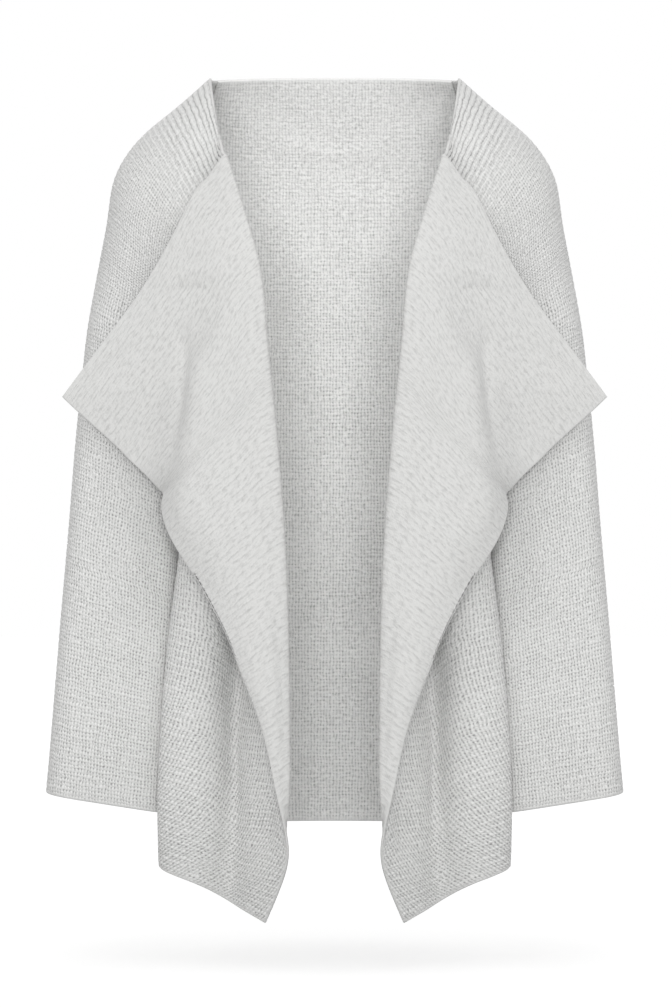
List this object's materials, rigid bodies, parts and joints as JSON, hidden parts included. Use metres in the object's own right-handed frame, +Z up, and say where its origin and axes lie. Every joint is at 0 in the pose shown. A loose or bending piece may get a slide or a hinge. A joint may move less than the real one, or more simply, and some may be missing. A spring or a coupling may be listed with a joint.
{
  "type": "cardigan",
  "caption": "Long open-front knitted cardigan, worn shape and hollow, with raglan sleeves and wide fold-back waterfall lapels.",
  "frame": {"origin": "between the shoulders, level with the top of the neck edge, where the wearer's shoulders carry the garment", "axes": "+Z up the wearer's body, the front faces -Y, the wearer's left is +X"},
  "size_m": [0.5452, 0.2954, 0.7957],
  "materials": {
    "knit_body": "matte chunky waffle knit, pale grey",
    "knit_fronts": "matte chunky waffle knit, ribbed wrong side showing on the lapels",
    "knit_sleeves": "matte chunky waffle knit, pale grey"
  },
  "bodies": {
    "root": {"back": "knit_body", "front_left": "knit_fronts", "front_right": "knit_fronts", "sleeve_left": "knit_sleeves", "sleeve_right": "knit_sleeves"}
  },
  "joints": []
}
